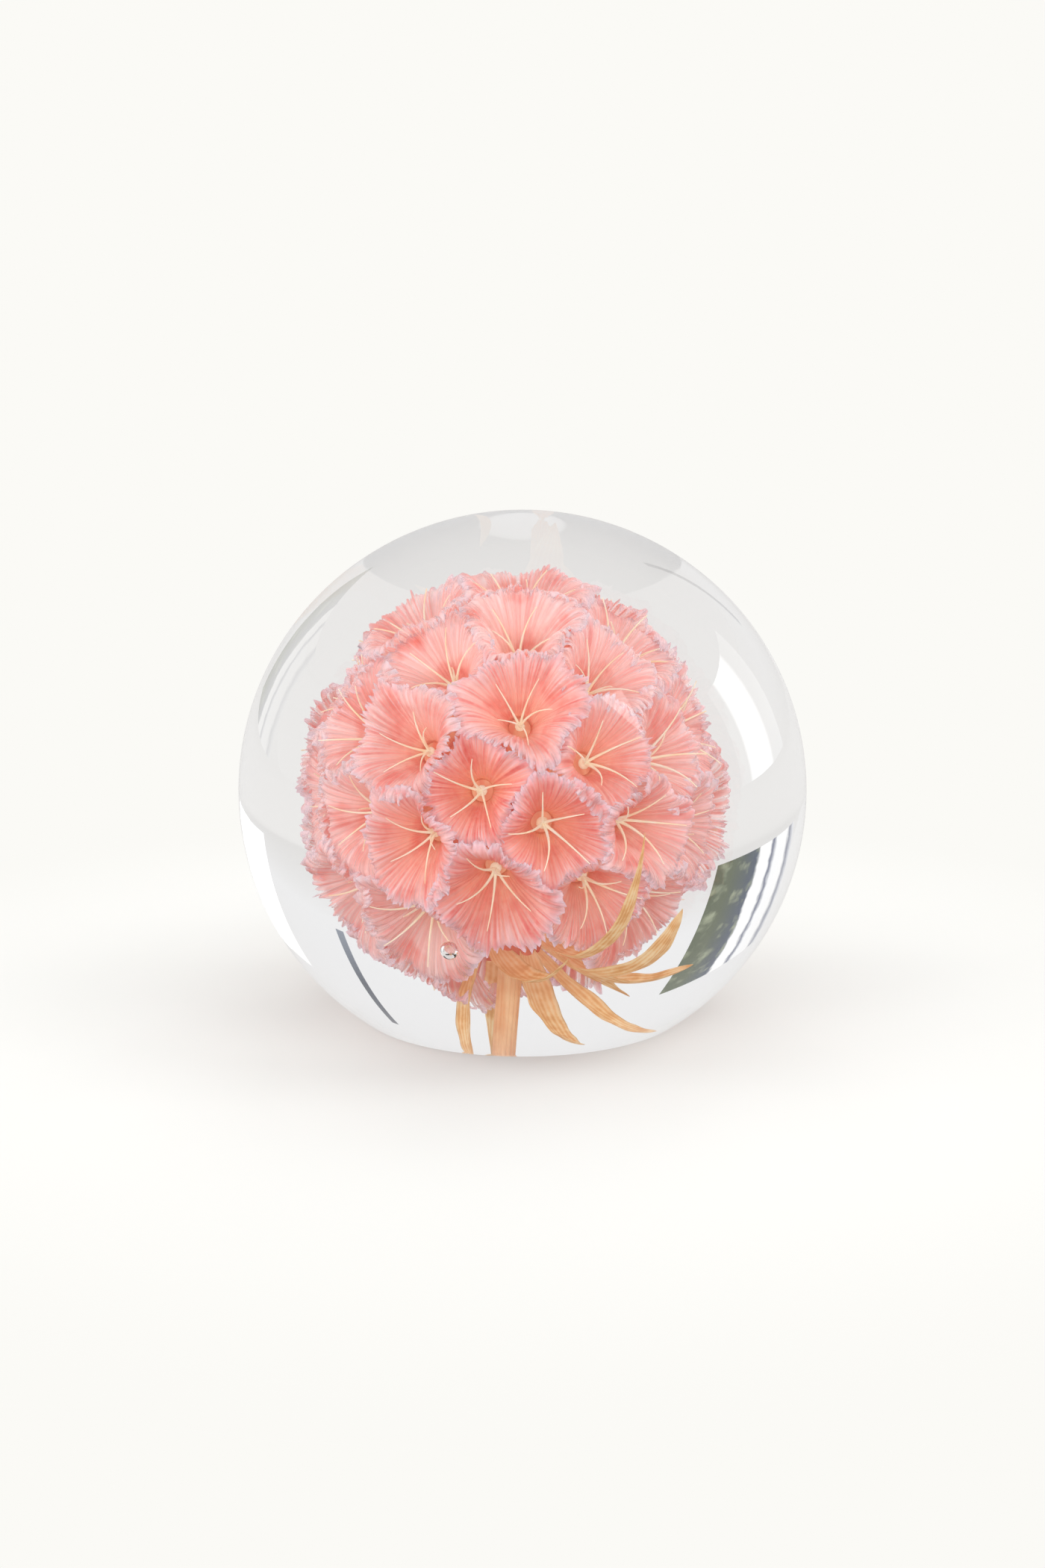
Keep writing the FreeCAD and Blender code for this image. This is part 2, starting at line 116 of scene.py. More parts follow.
class Nodes:
    """Shorthand to add nodes, for materials, shapes and the sky."""

    def __init__(self, tree):
        self.tree = tree

    def put(self, socket, value):
        """Links another node's output to a socket, or writes a plain value there."""
        if isinstance(value, bpy.types.NodeSocket):
            self.tree.links.new(value, socket)
        else:
            socket.default_value = value

    def add(self, kind, inputs=None, **settings):
        node = self.tree.nodes.new(kind)
        for key, value in settings.items():
            setattr(node, key, value)
        for key, value in (inputs or {}).items():
            self.put(node.inputs[key], value)
        return node

    def math(self, operation, *values, clamp=False):
        values = dict(enumerate(values))
        return self.add("ShaderNodeMath", values, operation=operation, use_clamp=clamp).outputs[0]

    def plus(self, *values, **more):
        return self.math("ADD", *values, **more)

    def minus(self, *values, **more):
        return self.math("SUBTRACT", *values, **more)

    def times(self, *values, **more):
        return self.math("MULTIPLY", *values, **more)

    def power(self, *values):
        return self.math("POWER", *values)

    def combine(self, x, y, z):
        return self.add("ShaderNodeCombineXYZ", {"X": x, "Y": y, "Z": z}).outputs[0]

    def noise(self, place, scale, detail):
        inputs = {"Vector": place, "Scale": scale, "Detail": detail}
        return self.add("ShaderNodeTexNoise", inputs).outputs["Fac"]


class Recipe(Nodes):
    """A new material."""

    def __init__(self, name):
        self.material = bpy.data.materials.new(name)
        self.material.use_nodes = True
        super().__init__(self.material.node_tree)
        self.tree.nodes.clear()
        self.output = self.add("ShaderNodeOutputMaterial")

    def attribute(self, name):
        return self.add("ShaderNodeAttribute", attribute_name=name).outputs["Fac"]

    def place(self):
        """Each point's place on its own piece."""
        return self.add("ShaderNodeTexCoord").outputs["Object"]

    def ramp(self, factor, stops):
        node = self.add("ShaderNodeValToRGB", {"Fac": factor})
        elements = node.color_ramp.elements
        while len(elements) < len(stops):
            elements.new(0.5)
        for element, (place, colour) in zip(elements, stops):
            element.position = place
            element.color = colour
        return node.outputs["Color"]

    def mix_colour(self, factor, first, second, blend="MIX"):
        inputs = {0: factor, 6: first, 7: second}
        return self.add("ShaderNodeMix", inputs, data_type="RGBA", blend_type=blend).outputs[2]

    def mix_shader(self, factor, first, second):
        return self.add("ShaderNodeMixShader", {0: factor, 1: first, 2: second}).outputs[0]

    def glow(self, colour, strength):
        return self.add("ShaderNodeEmission", {"Color": colour, "Strength": strength}).outputs[0]

    def tissue(self, colour, front, through, glow, glow_share):
        """Dry tissue: its lit front, the light through it, and its own faint light."""
        passed = self.add("ShaderNodeBsdfTranslucent", {"Color": colour}).outputs[0]
        lit = self.mix_shader(through, front, passed)
        return self.mix_shader(glow_share, lit, self.glow(colour, glow))

    def finish(self, shader):
        self.put(self.output.inputs["Surface"], shader)
        return self.material


def bend(recipe, height, strength, distance):
    """The normal socket of a bump made from a height."""
    return recipe.add(
        "ShaderNodeBump", {"Height": height, "Strength": strength, "Distance": distance}
    ).outputs["Normal"]


# %% [markdown]
# The CAD holds where everything goes. The head's centre comes from the receptacle, whose round part is a
# ball, and each floret's direction comes from its cup: the middle of a round cup lies on its own axis.

# %% Places read from the frame


def points_of(node):
    """The different corner points of a CAD node, as an array."""
    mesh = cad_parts[node].data
    flat = np.empty(len(mesh.vertices) * 3)
    mesh.vertices.foreach_get("co", flat)
    return np.unique(np.round(flat.reshape(-1, 3), 7), axis=0)


core_low, core_high = (np.array(corner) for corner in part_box("receptacle"))
core_radius = (core_high[0] - core_low[0]) / 2
head_centre = np.array([(core_low[0] + core_high[0]) / 2, 0.0, core_high[2] - core_radius])
cup_nodes = sorted(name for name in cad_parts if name.startswith("papery_cup_"))
bract_nodes = sorted(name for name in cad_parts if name.startswith("bract_"))


def floret_of(node):
    """A floret's axis, and its throat's and mouth's distances from the head's centre and radii."""
    spokes = points_of(node) - head_centre
    axis = spokes.mean(axis=0)
    axis /= np.linalg.norm(axis)
    along = spokes @ axis
    across = np.linalg.norm(spokes - along[:, None] * axis, axis=1)
    return {
        "axis": axis,
        "throat": along.min(),
        "mouth": along.max(),
        "throat_radius": across.min(),
        "mouth_radius": across.max(),
    }


florets = [floret_of(node) for node in cup_nodes]
print("head centre", head_centre, "florets", len(florets), "first", florets[0])

# %% [markdown]
# The camera stands a little above the ball and looks slightly down at it, from eight ball radii away,
# with a normal lens. At that distance the base's edge shows as a shallow curve.

# %% The camera
resin_low, resin_high = (np.array(corner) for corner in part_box("resin_body"))
dome_radius = (resin_high[0] - resin_low[0]) / 2
CAMERA_DISTANCE = 8.0 * dome_radius
CAMERA_RISE = math.radians(12.0)
AIM_LIFT = 0.0194 * dome_radius
LENS_MM = 51.8

camera_data = bpy.data.cameras.new("camera")
camera_data.sensor_fit = "VERTICAL"
camera_data.sensor_height = 36.0
camera_data.lens = LENS_MM
camera_data.clip_start = 0.01
camera = bpy.data.objects.new("camera", camera_data)
bpy.context.scene.collection.objects.link(camera)
aim = Vector((0.0, 0.0, head_centre[2] + AIM_LIFT))
back = Vector((0.0, -math.cos(CAMERA_RISE), math.sin(CAMERA_RISE)))
camera.location = aim + back * CAMERA_DISTANCE
camera.rotation_euler = back.to_track_quat("Z", "Y").to_euler()
bpy.context.scene.camera = camera
print("camera at", tuple(round(v, 4) for v in camera.location))

# %% [markdown]
# Clear casting resin is one block, so what shows is its outer skin and anything shut inside. The skin is a
# turned shape: a side arc that runs into a flatter crown arc, cut level and eased at the base. It is turned
# here with many more steps than the CAD's, because a lens with facets would break up what is seen through it.
# The air bubble is a second skin in the same block, whose faces point into the air.

# %% The resin's skin
SHOULDER = math.radians(41.0)
BASE_EASE = 0.3 * MM
TURN_STEPS = 256
SIDE_STEPS = 90
CROWN_STEPS = 50
base_points = points_of("resin_body")
on_base = base_points[base_points[:, 2] < 1e-6]
base_radius = np.linalg.norm(on_base[:, :2], axis=1).max()


def dome_outline():
    """(radius, height) pairs from the middle of the base to the crown."""
    drop = head_centre[2]
    rise = resin_high[2] - drop
    share = math.tan(math.pi / 4 - SHOULDER / 2)
    side = (rise - share * dome_radius) / (1 - share)
    offset = dome_radius - side
    crown = side + offset / math.cos(SHOULDER)
    crown_height = drop - offset * math.tan(SHOULDER)
    start = math.asin((BASE_EASE - drop) / side)
    outline = [(base_radius * k / 6, 0.0) for k in range(7)]
    corner = np.array([offset + side * math.cos(start), BASE_EASE])
    for k in range(1, 4):
        eased = np.array(outline[6]) * (1 - k / 4) + corner * (k / 4)
        outline.append(tuple(eased + (0.02 * MM, -0.02 * MM)))
    for k in range(SIDE_STEPS + 1):
        turn = start + (SHOULDER - start) * k / SIDE_STEPS
        outline.append((offset + side * math.cos(turn), drop + side * math.sin(turn)))
    for k in range(1, CROWN_STEPS):
        turn = SHOULDER + (math.pi / 2 - SHOULDER) * k / CROWN_STEPS
        outline.append((crown * math.cos(turn), crown_height + crown * math.sin(turn)))
    return outline, resin_high[2]


def turned_skin():
    outline, top = dome_outline()
    rings = outline[1:]
    points = [(0.0, 0.0, 0.0)]
    for radius, height in rings:
        for k in range(TURN_STEPS):
            turn = 2 * math.pi * k / TURN_STEPS
            points.append((radius * math.cos(turn), radius * math.sin(turn), max(height, 0.0)))
    points.append((0.0, 0.0, top))
    faces = [(0, 1 + (k + 1) % TURN_STEPS, 1 + k) for k in range(TURN_STEPS)]
    faces += [
        tuple(1 + i for i in face) for face in loop_faces(len(rings), TURN_STEPS, close_columns=True)
    ]
    last = 1 + (len(rings) - 1) * TURN_STEPS
    faces += [(last + k, last + (k + 1) % TURN_STEPS, len(points) - 1) for k in range(TURN_STEPS)]
    return points, faces


BUBBLE_ROWS = 24
BUBBLE_COLUMNS = 32
BUBBLE_PLACE = np.array([-7.7, -13.2, 17.6]) * MM
BUBBLE_RADIUS = 1.0 * MM


def bubble_skin(first):
    """The bubble's skin, wound so that its faces point inwards. first is the index of its first point."""
    centre, radius = BUBBLE_PLACE, BUBBLE_RADIUS
    points = [centre + np.array([0, 0, -radius])]
    for r in range(1, BUBBLE_ROWS):
        lift = -math.pi / 2 + math.pi * r / BUBBLE_ROWS
        for c in range(BUBBLE_COLUMNS):
            turn = 2 * math.pi * c / BUBBLE_COLUMNS
            points.append(
                centre + radius * np.array([
                    math.cos(lift) * math.cos(turn), math.cos(lift) * math.sin(turn), math.sin(lift)
                ])
            )
    points.append(centre + np.array([0, 0, radius]))
    n = BUBBLE_COLUMNS
    faces = [(0, 1 + k, 1 + (k + 1) % n) for k in range(n)]
    faces += [
        tuple(reversed([1 + i for i in face])) for face in loop_faces(BUBBLE_ROWS - 1, n, close_columns=True)
    ]
    last = 1 + (BUBBLE_ROWS - 2) * n
    faces += [(last + (k + 1) % n, last + k, len(points) - 1) for k in range(n)]
    return points, [tuple(first + i for i in face) for face in faces]


skin_points, skin_faces = turned_skin()
bubble_points, bubble_faces = bubble_skin(len(skin_points))
resin_skin = mesh_piece("clear_resin_ball", skin_points + bubble_points, skin_faces + bubble_faces)
resin_skin.data.set_sharp_from_angle(angle=math.radians(30))
print("resin skin", len(resin_skin.data.polygons), "faces")

# %% [markdown]
# Casting resin bends light almost as window glass does. Lamps can't reach through solid glass in a path
# tracer without much noise, so for shadow rays alone the skin counts as clear, and the flower gets its light.

# %% Clear resin
RESIN_BEND = 1.50


def clear_resin():
    r = Recipe("clear casting resin")
    glass = r.add(
        "ShaderNodeBsdfPrincipled",
        {
            "Base Color": (0.985, 0.985, 0.98, 1),
            "Roughness": 0.0,
            "IOR": RESIN_BEND,
            "Transmission Weight": 1.0,
        },
    ).outputs[0]
    slant = r.add("ShaderNodeLayerWeight", {"Blend": 0.5}).outputs["Facing"]
    passed = r.ramp(slant, [
        (0.0, (0.99, 0.99, 0.985, 1)), (0.4, (0.96, 0.96, 0.96, 1)), (0.9, (0.12, 0.13, 0.13, 1)),
    ])
    clear = r.add("ShaderNodeBsdfTransparent", {"Color": passed}).outputs[0]
    shadow = r.add("ShaderNodeLightPath").outputs["Is Shadow Ray"]
    return r.finish(r.mix_shader(shadow, glass, clear))


resin_skin.data.materials.append(clear_resin())

# %% [markdown]
# A floret's cup is a papery funnel, pleated like a fan by its ribs. The cups grow pressed together, so each
# mouth is a polygon whose sides lie halfway to its neighbours. The limit in each direction is worked out from
# the neighbours' axes. Rims go a little past it, unevenly, because papery rims overlap. Geometry Nodes turn a
# flat grid that carries those limits into the pleated and ragged funnel, with the sizes as named inputs.

# %% How far each cup can open
RIBS = 38
STEPS_PER_RIB = 8
AROUND = RIBS * STEPS_PER_RIB
WALL_STEPS = 15
WIDEST_OPENING = math.radians(21.5)
RIM_OVERLAP = 1.07
CORNER_EASE = 9
axes = np.array([f["axis"] for f in florets])


def cross_frame(axis):
    """Two directions at right angles to an axis and to each other."""
    helper = np.array([0.0, 0.0, 1.0]) if abs(axis[2]) < 0.9 else np.array([1.0, 0.0, 0.0])
    first = np.cross(helper, axis)
    first /= np.linalg.norm(first)
    return first, np.cross(axis, first)


def openings(index):
    """The angle from a cup's axis to the line halfway to its nearest neighbour, for each step around."""
    axis = axes[index]
    first, second = cross_frame(axis)
    turns = np.arange(AROUND) / AROUND * 2 * math.pi
    spokes = np.cos(turns)[:, None] * first + np.sin(turns)[:, None] * second
    limits = np.full(AROUND, WIDEST_OPENING)
    for other, neighbour in enumerate(axes):
        if other == index:
            continue
        towards = spokes @ neighbour
        gap = 1 - axis @ neighbour
        limit = np.where(towards > 1e-6, np.arctan2(gap, np.maximum(towards, 1e-6)), math.pi)
        limits = np.minimum(limits, limit)
    uneven = 0.07 * np.sin(2 * turns + 1.7 * index) + 0.05 * np.sin(5 * turns + 0.9 * index)
    limits = limits * (RIM_OVERLAP + uneven)
    kernel = np.hanning(CORNER_EASE)
    kernel /= kernel.sum()
    reach = CORNER_EASE // 2
    wrapped = np.concatenate([limits[-reach:], limits, limits[:reach]])
    return np.convolve(wrapped, kernel, mode="valid")


first_openings = np.degrees(openings(0))
print("openings of the first cup, degrees:", first_openings.min().round(1), first_openings.max().round(1))

# %% [markdown]
# The tree reads each point's place on the wall: how far around, how far along, which of the two faces, and
# the opening angle there. It sets the point's place in space by the funnel's rule. The wall leaves the throat
# upright and opens towards the rim. Ribs push it in and out, and the rim is torn and waved by noise.

# %% The pleated cup's tree


class Tree(Nodes):
    """A Geometry Nodes group whose sizes are named inputs."""

    def __init__(self, name, floats, vectors=(), counts=()):
        super().__init__(bpy.data.node_groups.new(name, "GeometryNodeTree"))
        face = self.tree.interface
        for way in ("INPUT", "OUTPUT"):
            face.new_socket("Geometry", in_out=way, socket_type="NodeSocketGeometry")
        kinds = {"Vector": vectors, "Float": floats, "Int": counts, "Material": ("Material",)}
        self.sockets = {
            label: face.new_socket(label, in_out="INPUT", socket_type="NodeSocket" + kind).identifier
            for kind, labels in kinds.items() for label in labels
        }
        self.inputs = self.add("NodeGroupInput").outputs
        self.output = self.add("NodeGroupOutput")

    def size(self, label):
        return self.inputs[label]

    def read(self, name, kind="FLOAT"):
        node = self.add("GeometryNodeInputNamedAttribute", {"Name": name}, data_type=kind)
        return node.outputs["Attribute"]

    def vector(self, operation, *values):
        names = (0, "Scale") if operation == "SCALE" else (0, 1)
        return self.add("ShaderNodeVectorMath", dict(zip(names, values)), operation=operation).outputs[0]

    def sum(self, *parts):
        total = parts[0]
        for part in parts[1:]:
            total = self.vector("ADD", total, part)
        return total

    def finish(self, geometry, smooth=True):
        """Makes the shape real and gives it the material."""
        if smooth:
            geometry = self.add("GeometryNodeSetShadeSmooth", {"Geometry": geometry}).outputs[0]
        real = self.add("GeometryNodeRealizeInstances", {"Geometry": geometry}).outputs[0]
        done = self.add("GeometryNodeSetMaterial", {"Geometry": real, "Material": self.size("Material")})
        self.put(self.output.inputs[0], done.outputs[0])
        return self

    def bake(self, piece, name, values):
        """Runs the tree on a piece and returns the result as a new plain piece; the first one is removed."""
        modifier = piece.modifiers.new("shape", "NODES")
        modifier.node_group = self.tree
        for label, value in values.items():
            modifier[self.sockets[label]] = value
        graph = bpy.context.evaluated_depsgraph_get()
        graph.update()
        mesh = bpy.data.meshes.new_from_object(piece.evaluated_get(graph))
        mesh.name = name
        piece.modifiers.remove(modifier)
        spare = piece.data
        bpy.data.objects.remove(piece)
        bpy.data.meshes.remove(spare)
        made = bpy.data.objects.new(name, mesh)
        bpy.context.scene.collection.objects.link(made)
        return made


def cup_tree():
    t = Tree(
        "pleated cup",
        ("Throat Distance", "Throat Radius", "Rim Distance", "Wall", "Ribs", "Pleat", "Tear", "Wave", "Seed"),
        vectors=("Centre", "Axis"),
    )
    along, around = t.read("along"), t.read("around")
    opening, side = t.read("opening"), t.read("side")
    spoke = t.read("spoke", "FLOAT_VECTOR")
    axis = t.size("Axis")

    turn = t.times(around, 2 * math.pi)
    rib = t.math("COSINE", t.times(turn, t.size("Ribs")))
    ring = t.combine(t.math("COSINE", turn), t.math("SINE", turn), t.size("Seed"))

    def jitter(scale, detail, step):
        """Noise from -1 to 1 that runs round the ring without a seam."""
        place = t.sum(t.vector("SCALE", ring, scale), t.combine(t.times(along, step), 7.3, 0.0))
        return t.times(t.minus(t.noise(place, 1.0, detail), 0.5), 2.0)

    streak = t.read("streak")
    near_rim = t.power(along, 6.0)
    at_rim = t.power(along, 9.0)
    open_share = t.power(along, 1.25)
    climb = t.minus(1.0, t.power(t.minus(1.0, along), 1.35))

    ragged = t.plus(t.times(jitter(1.7, 1.0, 0.0), 1.4), jitter(7.0, 3.0, 2.0))
    torn = t.times(t.times(t.minus(ragged, 0.8), t.size("Tear")), near_rim)
    fringe = t.times(t.times(t.minus(streak, 1.0), t.size("Tear")), t.times(at_rim, 0.95))
    rim = t.plus(t.size("Rim Distance"), t.plus(torn, fringe))
    rim_radius = t.times(rim, t.math("SINE", opening))
    rim_height = t.times(rim, t.math("COSINE", opening))

    def blend(first, second, share):
        return t.plus(first, t.times(t.minus(second, first), share))

    radius = blend(t.size("Throat Radius"), rim_radius, open_share)
    height = blend(t.size("Throat Distance"), rim_height, climb)

    pleat = t.times(t.times(rib, t.size("Pleat")), t.power(along, 0.8))
    wave = t.times(t.times(jitter(3.1, 2.0, 1.2), t.size("Wave")), t.power(along, 2.5))
    crumple = t.times(jitter(16.0, 2.0, 9.0), t.times(t.size("Pleat"), near_rim))
    push = t.plus(t.plus(pleat, wave), t.plus(crumple, t.times(side, t.size("Wall"))))
    outward = t.vector("NORMALIZE", t.vector(
        "SUBTRACT", spoke, t.vector("SCALE", axis, t.times(along, 0.7))
    ))
    place = t.sum(
        t.size("Centre"),
        t.vector("SCALE", axis, height),
        t.vector("SCALE", spoke, radius),
        t.vector("SCALE", outward, push),
    )
    moved = t.add("GeometryNodeSetPosition", {"Geometry": t.size("Geometry"), "Position": place})
    kept = t.add(
        "GeometryNodeStoreNamedAttribute",
        {"Geometry": moved.outputs[0], "Name": "rib", "Value": rib},
        data_type="FLOAT", domain="POINT",
    )
    return t.finish(kept.outputs[0])


def paleness(index):
    """0 for a cup that faces the front, rising to 1 for the ones turned to the side or to the back."""
    turned = 1 + axes[index][1]
    return min(max((turned - 0.05) / 0.42, 0.0), 1.0)


def reach_share(index):
    """How far a cup's rim comes out, as a share of the CAD cup's: no two neighbours are quite as long."""
    return 1.03 - 0.08 * (0.5 + 0.5 * math.sin(2.7 * index * index + 1.0))


def cup_grid(index):
    """The flat stand-in for a cup's wall, both faces in one loop. Its points carry what the tree reads."""
    first, second = cross_frame(axes[index])
    inner = [(k / WALL_STEPS, 0.0) for k in range(WALL_STEPS + 1)]
    outer = [(k / WALL_STEPS, 1.0) for k in range(WALL_STEPS, -1, -1)]
    rows = inner + outer
    faces = loop_faces(len(rows), AROUND, close_rows=True, close_columns=True)
    points = [(a / AROUND, r / len(rows), 0.0) for r in range(len(rows)) for a in range(AROUND)]
    grid = mesh_piece("grid", points, faces)
    around = np.tile(np.arange(AROUND) / AROUND, len(rows))
    turns = around * 2 * math.pi
    store(grid, "around", around)
    store(grid, "along", np.repeat([row[0] for row in rows], AROUND))
    store(grid, "side", np.repeat([row[1] for row in rows], AROUND))
    store(grid, "opening", np.tile(openings(index), len(rows)))
    store(grid, "streak", np.tile(np.random.default_rng(60 + index).random(AROUND), len(rows)))
    store(grid, "pale", np.full(len(points), paleness(index)))
    spokes = np.cos(turns)[:, None] * first + np.sin(turns)[:, None] * second
    store(grid, "spoke", spokes)
    return grid


# %% [markdown]
# The membrane is coral at the throat, paler towards the mouth, and bleached lilac white along the torn rim.
# Ribs hold more dye than the skin between them. The skin lets light through, so a Translucent shader shares
# with the front's colour, and between the ribs near the rim it's thin enough to see through. The rim, where
# light gathers, glows a little. Cups turned away from the front are paler and thinner.

# %% Dyed papery membrane


def papery_membrane():
    r = Recipe("dyed papery membrane")
    along, rib = r.attribute("along"), r.attribute("rib")
    streak, pale = r.attribute("streak"), r.attribute("pale")
    dyed = r.ramp(along, [
        (0.0, paint(255, 228, 180)),
        (0.18, paint(255, 212, 180)),
        (0.45, paint(254, 203, 180)),
        (0.75, paint(254, 216, 208)),
        (0.92, paint(253, 222, 228)),
        (1.0, paint(254, 240, 248)),
    ])
    # Cups turned away from the front take this paler tone, by how far they turn from the front.
    turned_away_tone = r.ramp(along, [
        (0.0, paint(255, 230, 214)),
        (0.4, paint(255, 242, 238)),
        (0.8, paint(255, 243, 241)),
        (1.0, paint(255, 242, 244)),
    ])
    base = r.mix_colour(pale, dyed, turned_away_tone)
    place = r.place()
    blotch = r.noise(place, 260.0, 3.0)
    fibre = r.noise(place, 1500.0, 2.0)
    stain = r.times(r.minus(blotch, 0.5, clamp=True), 3.5, clamp=True)
    stained = r.mix_colour(stain, base, paint(242, 140, 118))
    ribness = r.math("SMOOTH_MAX", r.times(rib, 0.9), 0.0, 0.3)
    line = r.times(streak, r.minus(1.0, r.power(along, 5.0)), clamp=True)
    line_depth = r.minus(0.5, r.times(pale, 0.12))
    lined = r.mix_colour(r.times(line, line_depth), stained, paint(246, 150, 138))
    strands = r.ramp(along, [(0.35, grey(0.0)), (0.72, grey(1.0)), (0.95, grey(0.35))])
    dark_strand = r.times(r.minus(streak, 0.55, clamp=True), 1.9, clamp=True)
    dark_strand = r.times(dark_strand, r.minus(1.0, r.times(pale, 0.55)))
    lined = r.mix_colour(r.times(strands, dark_strand), lined, paint(238, 124, 122))
    pale_strand = r.times(r.minus(0.38, streak, clamp=True), 2.2, clamp=True)
    lined = r.mix_colour(r.times(strands, pale_strand), lined, paint(254, 234, 240))
    fluff = r.times(r.minus(fibre, 0.42), 0.9, clamp=True)
    colour = r.mix_colour(fluff, lined, paint(255, 228, 216))
    bumped = bend(r, fibre, 0.4, 0.05 * MM)
    front = r.add("ShaderNodeBsdfPrincipled", {
        "Base Color": colour, "Roughness": 0.65, "Specular IOR Level": 0.25, "Normal": bumped,
    }).outputs[0]
    through = r.add("ShaderNodeBsdfTranslucent", {"Color": colour}).outputs[0]
    sheet = r.mix_shader(0.55, front, through)
    lit_rim = r.glow(paint(252, 226, 236), 0.95)
    sheet = r.mix_shader(r.times(r.power(along, 12.0), 0.45), sheet, lit_rim)
    gap = r.add("ShaderNodeBsdfTransparent").outputs[0]
    skin = r.times(r.minus(1.0, streak), r.minus(1.0, ribness))
    thinness = r.times(skin, r.power(along, 1.6))
    hairs = r.times(r.minus(0.75, streak, clamp=True), r.power(along, 16.0))
    between_ribs = r.times(thinness, r.plus(0.38, r.times(pale, 0.9)))
    open_skin = r.plus(between_ribs, r.times(hairs, 1.2), clamp=True)
    return r.finish(r.mix_shader(open_skin, sheet, gap))


# %% The pleated cups
membrane = papery_membrane()
pleated_cup = cup_tree()
WALL_THICKNESS = 0.06 * MM
PLEAT_DEPTH = 0.13 * MM
RIM_TEAR = 1.4 * MM
RIM_WAVE = 1.7 * MM
cups = []
for index, (node, floret) in enumerate(zip(cup_nodes, florets)):
    cup = pleated_cup.bake(cup_grid(index), node.replace("papery_cup", "pleated_cup"), {
        "Centre": tuple(head_centre),
        "Axis": tuple(floret["axis"]),
        "Throat Distance": float(floret["throat"]),
        "Throat Radius": float(floret["throat_radius"]),
        "Rim Distance": math.hypot(floret["mouth"], floret["mouth_radius"]) * reach_share(index),
        "Wall": WALL_THICKNESS,
        "Ribs": float(RIBS),
        "Pleat": PLEAT_DEPTH,
        "Tear": RIM_TEAR,
        "Wave": RIM_WAVE,
        "Seed": 3.1 * index,
        "Material": membrane,
    })
    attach(cup, "root")
    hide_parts(node)
    cups.append(cup)
print(len(cups), "cups of", len(cups[0].data.polygons), "faces")

# %% [markdown]
# At the bottom of each cup five long bristles spread from a small hub, like a star. One curved and tapered
# bristle is drawn as a curve and copied five times round the hub, and the whole star is put on every floret's
# point. The points carry the floret's axis and a spin of its own, so no two stars look alike.

# %% The bristle star's tree


def star_tree():
    t = Tree("bristle star", ("Length", "Lean", "Root", "Tip", "Hub"), counts=("Arms", "Seed"))
    out = t.times(t.size("Length"), t.math("SINE", t.size("Lean")))
    up = t.times(t.size("Length"), t.math("COSINE", t.size("Lean")))
    middle = t.combine(t.times(out, 0.32), t.times(out, 0.12), t.times(up, 0.68))
    end = t.combine(out, 0.0, up)
    arc = t.add("GeometryNodeCurveQuadraticBezier", {
        "Resolution": 9, "Start": (0.0, 0.0, 0.0), "Middle": middle, "End": end,
    }).outputs[0]
    share = t.add("GeometryNodeSplineParameter").outputs["Factor"]
    narrowing = t.times(t.minus(t.size("Tip"), t.size("Root")), t.power(share, 0.6))
    taper = t.plus(t.size("Root"), narrowing)
    thin = t.add("GeometryNodeSetCurveRadius", {"Curve": arc, "Radius": taper}).outputs[0]
    round_profile = t.add("GeometryNodeCurvePrimitiveCircle", {"Resolution": 5, "Radius": 1.0}).outputs[0]
    bristle = t.add("GeometryNodeCurveToMesh", {
        "Curve": thin, "Profile Curve": round_profile, "Fill Caps": True,
    })
    if "Scale" in bristle.inputs:
        radius = t.add("GeometryNodeInputRadius").outputs[0]
        t.put(bristle.inputs["Scale"], radius)

    hub_point = t.add("GeometryNodeMeshLine", {
        "Count": t.size("Arms"), "Start Location": (0.0, 0.0, 0.0), "Offset": (0.0, 0.0, 0.0),
    }).outputs[0]
    number = t.add("GeometryNodeInputIndex").outputs[0]
    spread = t.times(number, t.math("DIVIDE", 2 * math.pi, t.size("Arms")))
    shake = t.add("FunctionNodeRandomValue", {"Seed": t.size("Seed")}, data_type="FLOAT")
    shake.inputs[2].default_value = -0.16
    shake.inputs[3].default_value = 0.16
    turn = t.combine(shake.outputs[1], shake.outputs[1], t.plus(spread, shake.outputs[1]))
    arms = t.add("GeometryNodeInstanceOnPoints", {
        "Points": hub_point, "Instance": bristle.outputs[0], "Rotation": turn,
    }).outputs[0]
    hub = t.add("GeometryNodeMeshIcoSphere", {"Radius": t.size("Hub"), "Subdivisions": 2}).outputs[0]
    flat = t.add("GeometryNodeTransform", {"Geometry": hub, "Scale": (1.0, 1.0, 0.7)}).outputs[0]
    star = t.add("GeometryNodeJoinGeometry")
    for part in (flat, arms):
        t.tree.links.new(part, star.inputs[0])
    whole = t.add("GeometryNodeRealizeInstances", {"Geometry": star.outputs[0]}).outputs[0]

    stand = t.add(
        "FunctionNodeAlignRotationToVector", {"Vector": t.read("axis", "FLOAT_VECTOR")}, axis="Z"
    )
    spin = t.add("FunctionNodeAxisAngleToRotation", {"Axis": (0.0, 0.0, 1.0), "Angle": t.read("spin")})
    both = t.add(
        "FunctionNodeRotateRotation", {0: stand.outputs[0], 1: spin.outputs[0]}, rotation_space="LOCAL"
    )
    all_stars = t.add("GeometryNodeInstanceOnPoints", {
        "Points": t.size("Geometry"), "Instance": whole, "Rotation": both.outputs[0],
        "Scale": t.read("size", "FLOAT_VECTOR"),
    }).outputs[0]
    return t.finish(all_stars)


def floret_points(name, lift):
    """One point for each floret, lift metres beyond its throat, which carries its axis, spin and size."""
    places = [head_centre + f["axis"] * (f["throat"] + lift) for f in florets]
    points = mesh_piece(name, places, [], smooth=False)
    store(points, "axis", axes)
    store(points, "spin", [2.4 * k for k in range(len(florets))])
    store(points, "size", [[1 + 0.12 * math.sin(5.1 * k)] * 3 for k in range(len(florets))])
    return points


# %% Straw bristles


